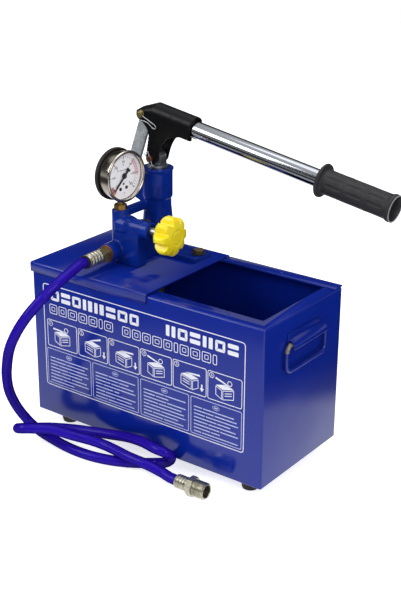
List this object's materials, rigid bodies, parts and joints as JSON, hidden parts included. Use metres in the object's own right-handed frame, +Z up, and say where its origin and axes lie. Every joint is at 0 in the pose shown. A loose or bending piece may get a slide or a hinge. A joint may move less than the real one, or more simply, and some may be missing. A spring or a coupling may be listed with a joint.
{
  "type": "hydrostatic test pump",
  "caption": "Hand-operated hydrostatic test pump: open steel water tank with a lever piston pump, pressure gauge, star-knob valve, carry handle and delivery hose.",
  "frame": {"origin": "under the middle of the box round the pump without its hose, at the height of the feet's undersides", "axes": "+X along the tank from the pump end to the carry-handle end, +Y from the hose side to the far side, +Z up"},
  "size_m": [0.4393, 0.2667, 0.417],
  "materials": {
    "tank_paint": "gloss enamel",
    "cast_paint": "gloss enamel over a casting",
    "handle_paint": "black oxide, oiled",
    "black_rubber": "matte",
    "grip_plastic": "moulded",
    "knob_plastic": "moulded",
    "hose_plastic": "glossy hose cover",
    "chrome": "polished",
    "steel": "zinc coated",
    "stainless": "polished stainless",
    "zinc": "yellow zinc",
    "brass": "satin",
    "copper": "satin copper",
    "dial_white": "printed dial",
    "pointer_black": "matte black",
    "glass": "clear"
  },
  "bodies": {
    "tank": {"tank_wrap": "tank_paint", "tank_end_left": "tank_paint", "tank_end_right": "tank_paint", "lid_plate": "tank_paint", "foot_front_left": "black_rubber", "foot_front_right": "black_rubber", "foot_rear_left": "black_rubber", "foot_rear_right": "black_rubber", "foot_screw_front_left": "steel", "foot_screw_front_right": "steel", "foot_screw_rear_left": "steel", "foot_screw_rear_right": "steel", "handle_strap": "tank_paint", "pump_body": "cast_paint", "base_washer_left": "steel", "base_washer_right": "steel", "base_bolt_left": "zinc", "base_bolt_right": "zinc", "base_nut_left": "zinc", "base_nut_right": "zinc", "suction_pipe": "zinc", "suction_strainer": "brass", "delivery_washer": "copper", "delivery_plug": "zinc", "plunger_packing": "black_rubber", "gland_bush": "brass", "link_pin": "zinc", "link_clip": "steel", "gauge_case": "stainless", "gauge_boot": "black_rubber", "gauge_bezel": "stainless", "gauge_glass": "glass", "gauge_dial": "dial_white", "gauge_stem": "brass", "pressure_tube": "brass", "gauge_movement": "brass", "valve_packing": "black_rubber", "outlet_washer": "copper", "hose_nipple": "zinc", "inlet_ferrule": "steel", "delivery_hose": "hose_plastic", "outlet_ferrule": "zinc", "end_fitting": "zinc"},
    "piston": {"plunger": "steel"},
    "lever": {"lever_head": "handle_paint", "handle_tube": "chrome", "handle_grip": "grip_plastic", "upper_pin": "zinc", "lower_pin": "copper", "upper_clip": "steel", "lower_clip": "steel"},
    "link": {"link_bar": "steel"},
    "needle": {"valve_needle": "brass"},
    "spindle": {"valve_spindle": "steel", "star_knob": "knob_plastic", "knob_screw": "steel"},
    "bail": {"handle_bail": "tank_paint"},
    "pointer": {"gauge_pointer": "pointer_black"},
    "suction_valve": {"suction_ball": "steel"},
    "delivery_valve": {"delivery_ball": "steel"}
  },
  "joints": [
    {"name": "piston_slide", "type": "slide", "parent": "tank", "child": "piston", "axis": [0, 0, 1], "range_m": [0, 0.0346]},
    {"name": "lever_swing", "type": "hinge", "parent": "piston", "child": "lever", "pos_m": [-0.11962, 0.049, 0.3478], "axis": [0, -1, 0], "range_deg": [0, 50]},
    {"name": "link_swing", "type": "hinge", "parent": "lever", "child": "link", "pos_m": [-0.13439, 0.049, 0.40211], "axis": [0, -1, 0], "range_deg": [-29.6, 0]},
    {"name": "needle_slide", "type": "slide", "parent": "tank", "child": "needle", "axis": [1, 0, 0], "range_m": [0, 0.00353]},
    {"name": "spindle_turn", "type": "hinge", "parent": "needle", "child": "spindle", "pos_m": [-0.07962, -0.0135, 0.273], "axis": [1, 0, 0], "range_deg": [0, 720]},
    {"name": "bail_swing", "type": "hinge", "parent": "tank", "child": "bail", "pos_m": [0.14008, -0.002, 0.1888], "axis": [0, -1, 0], "range_deg": [0, 95]},
    {"name": "pointer_turn", "type": "hinge", "parent": "tank", "child": "pointer", "pos_m": [-0.12902, -0.0135, 0.3362], "axis": [-0.9954, 0.0958, 0], "range_deg": [0, 270]},
    {"name": "suction_lift", "type": "slide", "parent": "tank", "child": "suction_valve", "axis": [0, 0, 1], "range_m": [0, 0.003]},
    {"name": "delivery_lift", "type": "slide", "parent": "tank", "child": "delivery_valve", "axis": [0, 0, 1], "range_m": [0, 0.003]}
  ],
  "couplings": [
    {"joint": "piston_slide", "follows": "lever_swing", "m_per_rad": 0.039564},
    {"joint": "link_swing", "follows": "lever_swing", "ratio": -0.5888},
    {"joint": "needle_slide", "follows": "spindle_turn", "m_per_rad": 0.00027852}
  ]
}
